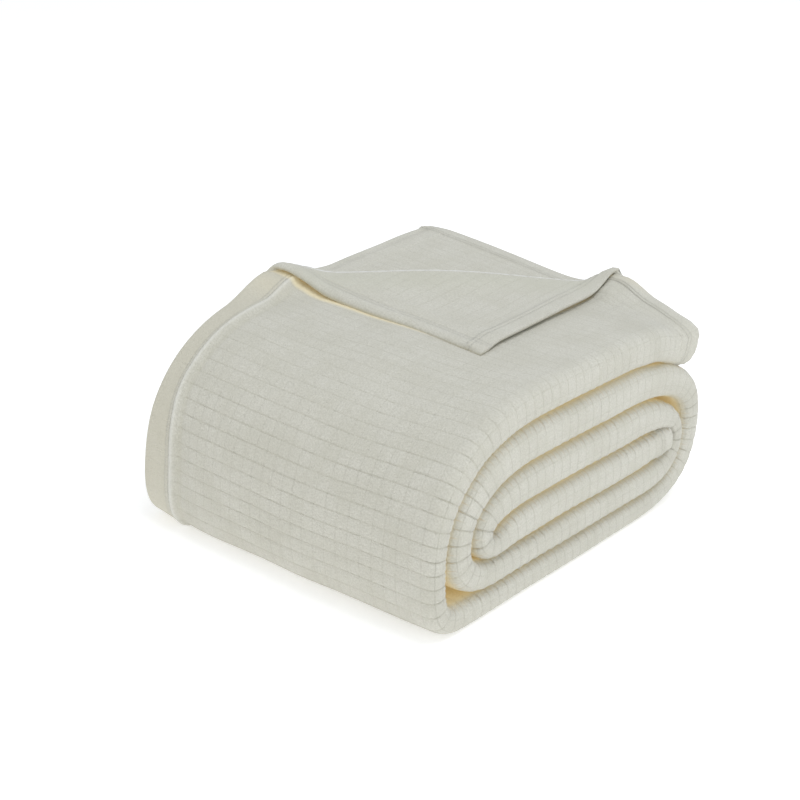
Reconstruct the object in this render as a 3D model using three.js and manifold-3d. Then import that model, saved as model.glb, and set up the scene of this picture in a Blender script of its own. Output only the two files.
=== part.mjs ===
// Fleece blanket: a large sheet folded lengthwise into an eight-ply strip, then wound flat.
// Millimetres, +Z up. X runs along the roll, from the hemmed edges at the left to the fold at the right.
// Y runs from the front of the roll to its back. The underside lies flat on Z = 0.
import * as THREE from 'three';
import Module from 'manifold-3d';

// Driving dimensions of the strip.
const STRIP_WIDTH = 345;
const FOLD_DEPTH = 17;
const CLOTH = 4;
const HEM_WIDTH = 21;
const HEM_EXTRA = 1.6;

// What the left end of every wrap shows, through the strip from -1 inside to 1 outside.
// reach is how far each fold or pair of hems stays back from the strip's edge.
const LEFT_EDGES = [
  { name: 'double fold', from: -1, to: 0, reach: 1.5 },
  { name: 'single fold', from: 0, to: 0.5, reach: 4 },
  { name: 'two hems', from: 0.5, to: 1, reach: 0 },
];
const EDGE_DEPTH = 9;
const EDGE_CORNER = { depth: 2.5, share: 0.14 };

// The ends of the strip are rounded off, down to this share of its thickness.
const END_SHAPE = { rounding: 9, share: 0.34, steps: [0.02, 0.12, 0.4, 0.9], clear: 1.2 };

// The straight runs of the wound strip, from the free end on top to the inner end.
// y and z follow the middle of the strip, and thick is its thickness, each from its start to its end.
// A run with no turn after it leads straight into the next.
const RUNS = [
  { name: 'free end', y: [186, 114], z: [157.4, 160.2], thick: [36, 32.4], turns: false },
  { name: 'first top', y: [66, -50], z: [163, 163], thick: [30, 30], turns: true },
  { name: 'toe', y: [-152, -126], z: [12, 10.5], thick: [24, 21], turns: false },
  { name: 'first bottom', y: [-112, 78], z: [10.5, 10.5], thick: [21, 21], turns: true },
  { name: 'second top', y: [60, -68], z: [129.2, 129.2], thick: [33, 33], turns: true },
  { name: 'second bottom', y: [-116, 100], z: [34.6, 34.6], thick: [24, 24], turns: true },
  { name: 'third top', y: [76, -72], z: [95.2, 95.2], thick: [31, 31], turns: true },
  { name: 'pinch', y: [-120, -86], z: [56.6, 62.6], thick: [17, 27], turns: false },
  { name: 'innermost', y: [-72, 84], z: [63.2, 63.2], thick: [29.4, 29.4], turns: false },
  { name: 'inner end', y: [96, 135], z: [63.4, 65], thick: [28.6, 19.5], turns: false },
];

// The turns between the runs. reach is the furthest Y of the strip's middle, at height z.
// before and after say how square the curve is on the way out to it and on the way back.
const TURNS = [
  { name: 'outer front', reach: -187, z: 58, thick: 19.5, before: 2.35, after: 3.2 },
  { name: 'outer back', reach: 171.4, z: 74, thick: 22.5, before: 2.75, after: 2.15 },
  { name: 'middle front', reach: -160.3, z: 68, thick: 27.5, before: 2.1, after: 2.45 },
  { name: 'inner back', reach: 148.6, z: 66, thick: 16.5, before: 2.3, after: 2.25 },
  { name: 'inner front', reach: -132.5, z: 72, thick: 22.5, before: 2, after: 2.3 },
];

// How the roll has settled. The front draws back towards the hemmed edges, most at the shoulder.
const FRONT_RECESS = { depth: 23, from: 70, power: 1.5, height: 150, y: 60, over: 190 };
// The free end lies a little askew, further back at the hemmed side, and its top plies are set back.
const END_SKEW = { slope: 0.112, from: 60, over: 110 };
const END_SLANT = { shift: 9, from: 120, over: 50, middle: 158, half: 18 };
// The hemmed side of the top stands a little higher at the back.
const TOP_RISE = { height: 11, from: -60, over: 200, x: 60, width: 232, z: 130 };
// Where the upper run begins, and where its upper face does.
const UPPER_RUN = { z: 136, overZ: 6, y: 60, overY: 60 };
const UPPER_FACE = { z: 160, over: 12 };

// The corner of the top ply that is turned over. Its fold line runs between two raised humps.
const FOLD_LEFT = new THREE.Vector2(-172.5, -34);
const FOLD_BACK = new THREE.Vector2(78, 176);
const TIP = new THREE.Vector2(87.5, -39.5);
const FLAP = { depth: 173, humpRadius: 5.8, middleRadius: 3.2, lie: 1, settleLength: 34 };
// The top ply lifts towards each hump, as far out as reach.
const HUMPS = [
  { name: 'front hump', x: -172.5, y: -44, rise: 7.5, reach: 64 },
  { name: 'back hump', x: 90, y: 176, rise: 9.5, reach: 72 },
];
// The rows of the flap: before the fold, in radii of its roll, then over the part that lies down.
const BEFORE_ROWS = [-2.4, -1.2, 0];
const LYING_ROWS = [0.06, 0.13, 0.21, 0.3, 0.4, 0.52, 0.65, 0.78, 0.9, 0.97, 0.995];
const FLAP_COLUMNS = [0, 0.15, 0.32, 0.5, 0.68, 0.85, 1];
const SUNK = 0.4;
// The block of space above the second ply where the corner has been lifted away.
const CLEARED = {
  along: [-60, 0, 60, 120, 180, 240, 300, 380],
  over: [0, 40, 80, 120, 160, 200, 260],
  top: 300,
};

// Mesh steps.
const STATION_LENGTH = 40;
const STATION_ANGLE = 0.25;
const FINE_STEPS = 48;
const SECTION_STEPS = 8;
const ROLL_STEPS = 6;

function mix(a, b, t) {
  return a + (b - a) * t;
}

function smooth(t) {
  const c = Math.min(1, Math.max(0, t));
  return c * c * (3 - 2 * c);
}

// One quarter of a superellipse, from a run's end to the furthest point of a turn, or back.
function quarterTurn(run, end, turn, power, outward) {
  const points = [];
  for (let i = 1; i <= FINE_STEPS; i += 1) {
    const t = outward ? i / FINE_STEPS : 1 - i / FINE_STEPS;
    const angle = (t * Math.PI) / 2;
    const along = Math.sin(angle) ** (2 / power);
    const across = Math.cos(angle) ** (2 / power);
    points.push({
      y: mix(run.y[end], turn.reach, along),
      z: mix(turn.z, run.z[end], across),
      thick: mix(run.thick[end], turn.thick, smooth(t)),
    });
  }
  return points;
}

// The middle line of the strip, finely stepped, from its free end to its inner end.
function stripCourse() {
  const points = [];
  let turnIndex = 0;
  RUNS.forEach((run, index) => {
    for (let i = 0; i <= FINE_STEPS; i += 1) {
      const t = i / FINE_STEPS;
      points.push({
        y: mix(run.y[0], run.y[1], t),
        z: mix(run.z[0], run.z[1], smooth(t)),
        thick: mix(run.thick[0], run.thick[1], smooth(t)),
      });
    }
    const next = RUNS[index + 1];
    if (!run.turns) return;
    const turn = TURNS[turnIndex];
    turnIndex += 1;
    points.push(...quarterTurn(run, 1, turn, turn.before, true));
    points.push(...quarterTurn(next, 0, turn, turn.after, false));
  });
  const apart = (p, q) => Math.hypot(p.y - q.y, p.z - q.z) > 0.01;
  return points.filter((p, i) => i === 0 || apart(p, points[i - 1]));
}

// Stations along the course, closer together where it turns, each with its outward normal.
function stripStations() {
  const course = stripCourse();
  const effort = [0];
  const lengths = [0];
  for (let i = 1; i < course.length; i += 1) {
    const step = Math.hypot(course[i].y - course[i - 1].y, course[i].z - course[i - 1].z);
    const before = course[Math.max(0, i - 2)];
    const after = course[Math.min(course.length - 1, i + 1)];
    const a = Math.atan2(course[i - 1].z - before.z, course[i - 1].y - before.y);
    const b = Math.atan2(after.z - course[i].z, after.y - course[i].y);
    const bend = i < 2 ? 0 : Math.abs(Math.atan2(Math.sin(b - a), Math.cos(b - a))) / 2;
    effort.push(effort[i - 1] + step / STATION_LENGTH + bend / STATION_ANGLE);
    lengths.push(lengths[i - 1] + step);
  }
  const total = effort[effort.length - 1];
  const count = Math.ceil(total);
  const targets = [];
  for (let i = 0; i <= count; i += 1) targets.push((total * i) / count);
  const stations = targets.map((target) => {
    const k = Math.max(1, effort.findIndex((e) => e >= target - 1e-9));
    const t = (target - effort[k - 1]) / (effort[k] - effort[k - 1]);
    const p = course[k - 1];
    const q = course[k];
    return {
      y: mix(p.y, q.y, t),
      z: mix(p.z, q.z, t),
      thick: mix(p.thick, q.thick, t),
      s: mix(lengths[k - 1], lengths[k], t),
    };
  });
  return roundedEnds(stations, lengths[lengths.length - 1]);
}

// Extra stations at both ends, where the plies' edges round the strip off.
function roundedEnds(stations, total) {
  const clear = END_SHAPE.rounding * END_SHAPE.clear;
  const inside = stations.filter((p) => p.s > clear && p.s < total - clear);
  const cap = (point, neighbour, fraction) => {
    const length = Math.hypot(neighbour.y - point.y, neighbour.z - point.z);
    const t = (fraction * END_SHAPE.rounding) / length;
    const round = Math.sqrt(1 - (1 - fraction) ** 2);
    return {
      y: mix(point.y, neighbour.y, t),
      z: mix(point.z, neighbour.z, t),
      thick: point.thick * mix(END_SHAPE.share, 1, round),
    };
  };
  const first = END_SHAPE.steps.map((f) => cap(stations[0], inside[0], f));
  const last = END_SHAPE.steps.map((f) => cap(stations[stations.length - 1], inside[inside.length - 1], f));
  last.reverse();
  const all = [...first, ...inside, ...last];
  return all.map((p, i) => {
    const before = all[Math.max(0, i - 1)];
    const after = all[Math.min(all.length - 1, i + 1)];
    const length = Math.hypot(after.y - before.y, after.z - before.z);
    return { ...p, ny: (after.z - before.z) / length, nz: (before.y - after.y) / length };
  });
}

// The strip's own section: x across the strip, d through it, from -1 inside to 1 outside.
// The right end is one round fold.
function stripSection() {
  const left = -STRIP_WIDTH / 2;
  const right = STRIP_WIDTH / 2;
  const flatX = (i) => mix(left + EDGE_DEPTH, right - FOLD_DEPTH, i / SECTION_STEPS);
  const points = [];
  for (let i = 0; i <= SECTION_STEPS; i += 1) points.push({ x: flatX(i), d: 1 });
  for (let i = 1; i < SECTION_STEPS; i += 1) {
    const angle = (i / SECTION_STEPS) * Math.PI;
    points.push({ x: right - FOLD_DEPTH + FOLD_DEPTH * Math.sin(angle), d: Math.cos(angle) });
  }
  for (let i = SECTION_STEPS; i >= 0; i -= 1) points.push({ x: flatX(i), d: -1 });
  LEFT_EDGES.forEach(({ from, to, reach }, index) => {
    if (index > 0) points.push({ x: left + EDGE_DEPTH, d: from });
    points.push({ x: left + reach + EDGE_CORNER.depth, d: mix(from, to, EDGE_CORNER.share) });
    points.push({ x: left + reach, d: (from + to) / 2 });
    points.push({ x: left + reach + EDGE_CORNER.depth, d: mix(to, from, EDGE_CORNER.share) });
  });
  return points;
}

// How far the top ply is lifted near the humps.
function liftAt(x, y) {
  return HUMPS.reduce((sum, hump) => {
    const away = Math.hypot(x - hump.x, y - hump.y) / hump.reach;
    return sum + hump.rise * Math.exp(-away * away);
  }, 0);
}

// How much higher the top stands, most at the left of the back.
function riseAt(x, y) {
  const toLeft = smooth((TOP_RISE.x - x) / TOP_RISE.width);
  return TOP_RISE.height * toLeft * smooth((y - TOP_RISE.from) / TOP_RISE.over);
}

// The settled shape of the whole roll, applied to every point.
function settle(x, y, z) {
  const toLeft = Math.max(0, (FRONT_RECESS.from - x) / (FRONT_RECESS.from + STRIP_WIDTH / 2));
  const up = Math.sqrt(Math.min(1, Math.max(0, z) / FRONT_RECESS.height));
  const front = smooth((FRONT_RECESS.y - y) / FRONT_RECESS.over);
  const recess = FRONT_RECESS.depth * toLeft ** FRONT_RECESS.power * up * front;
  const onTop = smooth((z - UPPER_RUN.z) / UPPER_RUN.overZ) * smooth((y - UPPER_RUN.y) / UPPER_RUN.overY);
  const skew = -END_SKEW.slope * x * smooth((y - END_SKEW.from) / END_SKEW.over) * onTop;
  const slant = (END_SLANT.shift * (END_SLANT.middle - z)) / END_SLANT.half;
  const lean = slant * smooth((y - END_SLANT.from) / END_SLANT.over) * onTop;
  const rise = riseAt(x, y) * smooth(z / TOP_RISE.z);
  const lift = liftAt(x, y) * smooth((z - UPPER_FACE.z) / UPPER_FACE.over);
  return [x, y + recess + skew + lean, Math.max(0, z) + rise + lift];
}

// The height of the top ply's upper face, in plan, before it lifts near the humps.
function topAt(x, y) {
  const [end, first] = RUNS;
  const endTop = end.z[0] + end.thick[0] / 2;
  const firstTop = first.z[0] + first.thick[0] / 2;
  return mix(firstTop, endTop, smooth((y - first.y[0]) / (end.y[0] - first.y[0]))) + riseAt(x, y);
}

// Triangles that close one end of a ring, wound with its outline or against it.
function capFaces(ring, base, withOutline) {
  const outline = ring.map(([x, , z]) => new THREE.Vector2(x, z));
  const turn = Math.sign(THREE.ShapeUtils.area(outline));
  return THREE.ShapeUtils.triangulateShape(outline, []).flatMap(([a, b, c]) => {
    const own = Math.sign(THREE.ShapeUtils.area([outline[a], outline[b], outline[c]]));
    const same = (own === turn) === withOutline;
    return same ? [base + a, base + b, base + c] : [base + a, base + c, base + b];
  });
}

// A closed geometry from a grid of rings, each ring closed on itself, with capped ends.
function ringGeometry(rings) {
  const count = rings[0].length;
  const positions = rings.flat(2);
  const index = [];
  for (let i = 0; i < rings.length - 1; i += 1) {
    for (let j = 0; j < count; j += 1) {
      const k = (j + 1) % count;
      const a = i * count + j;
      const b = i * count + k;
      const c = (i + 1) * count + k;
      const d = (i + 1) * count + j;
      index.push(a, c, b, a, d, c);
    }
  }
  index.push(...capFaces(rings[0], 0, true));
  index.push(...capFaces(rings[rings.length - 1], (rings.length - 1) * count, false));
  const geometry = new THREE.BufferGeometry();
  geometry.setAttribute('position', new THREE.Float32BufferAttribute(positions, 3));
  geometry.setIndex(index);
  return geometry;
}

function stripGeometry() {
  const section = stripSection();
  const rings = stripStations().map((p) => section.map(({ x, d }) => {
    const half = (p.thick / 2) * d;
    return settle(x, p.y + p.ny * half, p.z + p.nz * half);
  }));
  return ringGeometry(rings);
}

// A closed sheet from two grids of points that face each other, upper and lower.
function sheetGeometry(upper, lower) {
  const rows = upper.length;
  const columns = upper[0].length;
  const offset = rows * columns;
  const positions = [...upper.flat(2), ...lower.flat(2)];
  const at = (i, j) => i * columns + j;
  const index = [];
  for (let i = 0; i < rows - 1; i += 1) {
    for (let j = 0; j < columns - 1; j += 1) {
      const [a, b, c, d] = [at(i, j), at(i, j + 1), at(i + 1, j + 1), at(i + 1, j)];
      index.push(a, c, b, a, d, c);
      index.push(a + offset, b + offset, c + offset, a + offset, c + offset, d + offset);
    }
  }
  const edge = [];
  for (let j = 0; j < columns - 1; j += 1) edge.push(at(0, j));
  for (let i = 0; i < rows - 1; i += 1) edge.push(at(i, columns - 1));
  for (let j = columns - 1; j > 0; j -= 1) edge.push(at(rows - 1, j));
  for (let i = rows - 1; i > 0; i -= 1) edge.push(at(i, 0));
  edge.forEach((a, k) => {
    const b = edge[(k + 1) % edge.length];
    index.push(a, b, b + offset, a, b + offset, a + offset);
  });
  const geometry = new THREE.BufferGeometry();
  geometry.setAttribute('position', new THREE.Float32BufferAttribute(positions, 3));
  geometry.setIndex(index);
  return geometry;
}

// Directions along the fold line of the turned-over corner, and away from it over the flap.
const ALONG = FOLD_BACK.clone().sub(FOLD_LEFT).normalize();
const OVER = new THREE.Vector2(ALONG.y, -ALONG.x);
const FOLD_LENGTH = FOLD_BACK.distanceTo(FOLD_LEFT);
const TIP_ALONG = TIP.clone().sub(FOLD_LEFT).dot(ALONG);
const TIP_OVER = TIP.clone().sub(FOLD_LEFT).dot(OVER);

// A point in plan, from its distance along the fold line and its distance over the flap.
function foldPlan(along, over) {
  return FOLD_LEFT.clone().addScaledVector(ALONG, along).addScaledVector(OVER, over);
}

// Where the flap's columns lie across a row of this width, from 0 to 1, and which are hem.
function flapColumns(width) {
  const leftHem = HEM_WIDTH / Math.sin(Math.atan2(TIP_OVER, TIP_ALONG));
  const rightHem = HEM_WIDTH / Math.sin(Math.atan2(TIP_OVER, FOLD_LENGTH - TIP_ALONG));
  const first = Math.min(0.44, leftHem / width);
  const last = 1 - Math.min(0.44, rightHem / width);
  const step = Math.min(0.02, 2 / width);
  const inner = FLAP_COLUMNS.map((t) => mix(first + step, last - step, t));
  return [
    { c: 0, hem: 0.4 }, { c: Math.min(first / 2, step * 2), hem: 1 }, { c: first, hem: 1 },
    ...inner.map((c) => ({ c, hem: 0 })),
    { c: last, hem: 1 }, { c: 1 - Math.min((1 - last) / 2, step * 2), hem: 1 }, { c: 1, hem: 0.4 },
  ];
}

// The flap follows the top ply up to the fold line, rolls over and settles on the top.
function flapGeometry() {
  const rolled = [...BEFORE_ROWS];
  for (let i = 1; i <= ROLL_STEPS; i += 1) rolled.push(i / ROLL_STEPS);
  const rows = [...rolled.map((f) => ({ f, g: 0 })), ...LYING_ROWS.map((g) => ({ f: 1, g }))];
  const rest = CLOTH + FLAP.lie;
  const middle = rows.map(({ f, g }) => {
    const part = mix((Math.max(0, f) * Math.PI * FLAP.humpRadius) / FLAP.depth, 1, g);
    const left = TIP_ALONG * part;
    const width = FOLD_LENGTH * (1 - part);
    return flapColumns(width).map(({ c, hem }) => {
      const radius = mix(FLAP.middleRadius, FLAP.humpRadius, Math.abs(2 * c - 1) ** 3);
      const angle = Math.max(0, f) * Math.PI;
      const before = Math.min(0, f) * radius;
      const over = -before - radius * Math.sin(angle) + TIP_OVER * g;
      const away = (g * FLAP.depth) / FLAP.settleLength;
      const settled = rest + (2 * radius - rest) * Math.exp(-away * away);
      const height = g > 0 ? settled : radius * (1 - Math.cos(angle));
      const plan = foldPlan(left + width * c, over);
      const base = topAt(plan.x, plan.y) + liftAt(plan.x, plan.y) - CLOTH / 2;
      const sunk = f < 0 ? SUNK : 0;
      return { point: [plan.x, plan.y, base + height - sunk], hem: f > 0 ? hem * HEM_EXTRA : 0 };
    });
  });
  const corner = (i, j) => {
    const row = middle[Math.min(middle.length - 1, Math.max(0, i))];
    return new THREE.Vector3(...row[Math.min(row.length - 1, Math.max(0, j))].point);
  };
  const shifted = (sign) => middle.map((row, i) => row.map(({ hem }, j) => {
    const down = corner(i + 1, j).sub(corner(i - 1, j));
    const across = corner(i, j + 1).sub(corner(i, j - 1));
    const normal = down.cross(across).normalize();
    const out = sign > 0 ? CLOTH / 2 + hem : -CLOTH / 2;
    return corner(i, j).addScaledVector(normal, out).toArray();
  }));
  return sheetGeometry(shifted(1), shifted(-1));
}

// Everything above the second ply, beyond the fold line, where the corner has been lifted away.
function clearedGeometry() {
  const grid = (height) => CLEARED.along.map((along) => CLEARED.over.map((over) => {
    const plan = foldPlan(along, -over);
    return [plan.x, plan.y, height(plan)];
  }));
  const floor = grid((plan) => topAt(plan.x, plan.y) - CLOTH);
  const roof = grid(() => CLEARED.top);
  return sheetGeometry(roof, floor);
}

const solids = await Module();
solids.setup();

function toSolid(geometry) {
  return new solids.Manifold(new solids.Mesh({
    numProp: 3,
    vertProperties: new Float32Array(geometry.getAttribute('position').array),
    triVerts: new Uint32Array(geometry.getIndex().array),
  }));
}

function toGeometry(solid) {
  const mesh = solid.getMesh();
  const geometry = new THREE.BufferGeometry();
  geometry.setAttribute('position', new THREE.Float32BufferAttribute(mesh.vertProperties, 3));
  geometry.setIndex(new THREE.BufferAttribute(new Uint32Array(mesh.triVerts), 1));
  return geometry;
}

// The blanket is one body: the wound strip, less the lifted corner, with the flap laid over it.
function blanketGeometry() {
  const strip = toSolid(stripGeometry()).subtract(toSolid(clearedGeometry()));
  const geometry = toGeometry(strip.add(toSolid(flapGeometry())));
  geometry.computeBoundingBox();
  const { min, max } = geometry.boundingBox;
  geometry.translate(-(min.x + max.x) / 2, -(min.y + max.y) / 2, -min.z);
  return geometry;
}

const blanket = new THREE.Mesh(
  blanketGeometry(),
  new THREE.MeshStandardMaterial({ color: 0xe9e6d8, roughness: 0.95, metalness: 0 }),
);
blanket.name = 'blanket';
const roll = new THREE.Group();
roll.add(blanket);
export default roll;
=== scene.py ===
import math
import random

import bpy
import numpy as np
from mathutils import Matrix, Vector


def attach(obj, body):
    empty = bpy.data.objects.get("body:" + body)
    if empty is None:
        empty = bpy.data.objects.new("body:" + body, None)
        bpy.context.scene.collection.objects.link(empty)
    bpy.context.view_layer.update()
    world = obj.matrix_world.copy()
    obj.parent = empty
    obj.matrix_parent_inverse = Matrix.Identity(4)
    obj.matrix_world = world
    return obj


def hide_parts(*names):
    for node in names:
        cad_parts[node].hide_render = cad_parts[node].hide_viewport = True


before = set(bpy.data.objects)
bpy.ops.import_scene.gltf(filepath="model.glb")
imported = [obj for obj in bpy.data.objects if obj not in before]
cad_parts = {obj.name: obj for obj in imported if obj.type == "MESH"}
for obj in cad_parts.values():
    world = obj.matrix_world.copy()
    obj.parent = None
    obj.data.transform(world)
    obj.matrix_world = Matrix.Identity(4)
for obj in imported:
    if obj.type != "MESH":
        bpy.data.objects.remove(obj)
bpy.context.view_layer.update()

MM = 0.001

# Sizes, in millimetres
STRIP_WIDTH = 345.0
LEFT = -STRIP_WIDTH / 2
RIGHT = STRIP_WIDTH / 2
CLOTH = 4.0
PLIES = 8
NOMINAL = CLOTH * PLIES / 2      # half the strip's thickness before it is squeezed
FOLD_DEPTH = 17.0
SQUARE = 3.4                     # how square the round edge is; 2 is an ellipse
EDGE_DEPTH = 9.0
TOP_EDGE = -164.5                # where the hemmed edges of the first and second plies lie
SECOND_EDGE = -166.0
SIDE_HEM = 33.0
END_HEM = 21.0
CELL = 12.3                      # the grid across the cloth
ROW = 11.2                       # the grid along the strip; the outer ply stretches it to the same size
SHIFT_Y = -6.11                  # puts the roll in the middle of its box
FLAT_SIZE = (2.286, 2.743)

# The straight runs of the wound strip: y, z and thickness, each from its start to its end.
RUNS = [
    dict(name="free end", y=(187, 114), z=(151.0, 159.6), thick=(48.4, 33), turns=False),
    dict(name="first top", y=(66, -50), z=(163, 163), thick=(30, 30), turns=True),
    dict(name="toe", y=(-160, -126), z=(11.6, 10.5), thick=(23.2, 21), turns=False),
    dict(name="first bottom", y=(-112, 78), z=(10.5, 10.5), thick=(21, 21), turns=True),
    dict(name="second top", y=(60, -68), z=(129.2, 129.2), thick=(33, 33), turns=True),
    dict(name="second bottom", y=(-116, 100), z=(34.6, 34.6), thick=(24, 24), turns=True),
    dict(name="third top", y=(76, -72), z=(95.2, 95.2), thick=(31, 31), turns=True),
    dict(name="pinch", y=(-120, -86), z=(56.6, 62.6), thick=(17, 27), turns=False),
    dict(name="innermost", y=(-72, 84), z=(63.2, 63.2), thick=(29.4, 29.4), turns=False),
    dict(name="inner end", y=(96, 137), z=(63.4, 65), thick=(28.6, 23.5), turns=False),
]
# The turns between the runs, and how square each is on the way out and on the way back.
TURNS = [
    dict(name="outer front", reach=-187, z=58, thick=19.5, before=2.35, after=3.5),
    dict(name="outer back", reach=171.4, z=76, thick=23.5, before=2.75, after=2.45),
    dict(name="middle front", reach=-160.3, z=68, thick=27.5, before=2.1, after=2.45),
    dict(name="inner back", reach=148.6, z=66, thick=16.5, before=2.3, after=2.25),
    dict(name="inner front", reach=-132.5, z=72, thick=22.5, before=2.0, after=2.3),
]
FRONT_RECESS = dict(depth=23.0, start=70.0, power=1.5, height=168.0, y=60.0, over=190.0)
END_SKEW = dict(slope=0.112, start=60.0, over=110.0)
END_ROUND = dict(
    shift=1.5, curve=5.0, start=120.0, over=50.0,
    middle=150.0, half=17.0, lowest=-1.3, highest=1.65,
)
END_DROOP = dict(drop=7.0, x=134.0, over=40.0, y=110.0, over_y=60.0, z=145.0, over_z=30.0)
TOP_RISE = dict(height=13.5, start=-10.0, over=200.0, x=84.0, width=250.0, z=130.0)
BACK_CORNER = dict(shift=4.5, x=-60.0, over=100.0, y=110.0, over_y=80.0)
UPPER_RUN = dict(z=136.0, over_z=6.0, y=60.0, over_y=60.0)
# Only what lies above this height lifts at the humps and moves at the back corner.
TOP_PLIES = dict(z=140.0, over=20.0)
TOE_CORNER = dict(shift=3.0, x=-118.0, over=46.0, height=48.0)
# Towards the hemmed edges the stack is squeezed a little more, and the turned corner lies lower.
LEFT_TAPER = dict(x=-132.0, over=40.0, squeeze=0.2, drop=2.4)
# How far the first ply's hem line drifts inward, over the front and at the shoulder.
HEM_DRIFT = dict(
    front=10.0, start=360.0, grow=70.0, end=500.0, fade=60.0,
    shoulder=5.0, at=275.0, reach=28.0,
)
# The two ends of the fold stand up from the roll: how far, how far along the fold, and their ramps.
FRONT_HUMP = dict(rise=15.0, flat=24.0, reach=52.0)
BACK_HUMP = dict(rise=13.0, reach=19.0)
BACK_EDGE = dict(rise=13.4, x=82.0, reach_left=18.0, reach_right=38.0, y=132.0, over=44.0)
RAMP = 54.0
FLAP_RAMP = 66.0
LIFT_AT_DEPTH = {-2.0: 0.0, 2.0: 0.1, 6.0: 0.25, 10.0: 0.5, 14.0: 1.0}

# The turned-over corner of the top ply.
FOLD_LEFT = np.array([-172.5, -44.0])
FOLD_BACK = np.array([78.0, 176.0])
TIP = np.array([87.5, -39.5])
FRONT_END_RADIUS = 3.5
BACK_END_RADIUS = 2.6
MIDDLE_RADIUS = 6.2
LIE = 1.0
SETTLE_LENGTH = 44.0
ALONG = (FOLD_BACK - FOLD_LEFT) / np.linalg.norm(FOLD_BACK - FOLD_LEFT)
OVER = np.array([ALONG[1], -ALONG[0]])
FOLD_LENGTH = float(np.linalg.norm(FOLD_BACK - FOLD_LEFT))
FOLD_START = (TOP_EDGE - FOLD_LEFT[0]) / ALONG[0]


def mix(a, b, t):
    return a + (b - a) * t


def smooth(t):
    c = np.clip(t, 0.0, 1.0)
    return c * c * (3 - 2 * c)


# The course of the strip
def quarter_turn(run, end, turn, power, outward):
    t = np.linspace(0, 1, 49)[1:]
    if not outward:
        t = 1 - t
    angle = t * math.pi / 2
    along = np.sin(angle) ** (2 / power)
    across = np.cos(angle) ** (2 / power)
    return np.stack([
        mix(run["y"][end], turn["reach"], along),
        mix(turn["z"], run["z"][end], across),
        mix(run["thick"][end], turn["thick"], smooth(t)),
    ], axis=1)


def strip_course():
    """The strip's middle line at every millimetre: y, z, thickness and the outward normal."""
    parts = []
    turns = iter(TURNS)
    for i, run in enumerate(RUNS):
        t = np.linspace(0, 1, 49)
        parts.append(np.stack([
            mix(run["y"][0], run["y"][1], t),
            mix(run["z"][0], run["z"][1], smooth(t)),
            mix(run["thick"][0], run["thick"][1], smooth(t)),
        ], axis=1))
        if run["turns"]:
            turn = next(turns)
            parts.append(quarter_turn(run, 1, turn, turn["before"], True))
            parts.append(quarter_turn(RUNS[i + 1], 0, turn, turn["after"], False))
    line = np.concatenate(parts)
    step = np.hypot(*np.diff(line[:, :2], axis=0).T)
    line = line[np.concatenate([[True], step > 0.01])]
    length = np.concatenate([[0], np.cumsum(np.hypot(*np.diff(line[:, :2], axis=0).T))])
    s = np.arange(0, length[-1], 1.0)
    even = np.stack([np.interp(s, length, line[:, k]) for k in range(3)], axis=1)
    return s, softened(even, 7)


def softened(rows, reach):
    """Rows averaged with their neighbours, the two ends held."""
    width = int(reach * 3)
    kernel = np.exp(-0.5 * (np.arange(-width, width + 1) / reach) ** 2)
    kernel /= kernel.sum()
    head = 2 * rows[0] - rows[1:width + 1][::-1]
    tail = 2 * rows[-1] - rows[-width - 1:-1][::-1]
    padded = np.concatenate([head, rows, tail])
    return np.stack([np.convolve(padded[:, k], kernel, "valid") for k in range(rows.shape[1])], axis=1)


COURSE_S, COURSE = strip_course()
COURSE_LENGTH = float(COURSE_S[-1])
# Where the strip comes back under its own outer end.
COVERED_FROM = float(COURSE_S[(COURSE_S > 700) & (COURSE[:, 1] > 100) & (COURSE[:, 0] < 150)][0])
tangent = np.gradient(COURSE[:, :2], axis=0)
tangent = softened(tangent, 4)
tangent /= np.linalg.norm(tangent, axis=1)[:, None]
NORMAL = np.stack([tangent[:, 1], -tangent[:, 0]], axis=1)


def lift_at(x, y, ramp=RAMP, share=1.0):
    """How far a ply that takes this share of the lift stands up at the two ends of the fold."""
    dx, dy = x - FOLD_LEFT[0], y - FOLD_LEFT[1]
    along = dx * ALONG[0] + dy * ALONG[1]
    before = dx * OVER[0] + dy * OVER[1]
    foot = smooth((ramp - before) / (ramp - 5))
    front = FRONT_HUMP["rise"] * smooth(1 - (along - FRONT_HUMP["flat"]) / FRONT_HUMP["reach"]) * foot
    back = BACK_HUMP["rise"] * np.exp(-((along - FOLD_LENGTH) / BACK_HUMP["reach"]) ** 2) * foot
    reach = np.where(x < BACK_EDGE["x"], BACK_EDGE["reach_left"], BACK_EDGE["reach_right"])
    edge = BACK_EDGE["rise"] * np.exp(-((x - BACK_EDGE["x"]) / reach) ** 2)
    edge = edge * smooth((y - BACK_EDGE["y"]) / BACK_EDGE["over"])
    return front * np.sqrt(share) + np.maximum(back, edge) * share


def rise_at(x, y):
    to_left = smooth((TOP_RISE["x"] - x) / TOP_RISE["width"])
    return TOP_RISE["height"] * to_left * smooth((y - TOP_RISE["start"]) / TOP_RISE["over"])


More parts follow.
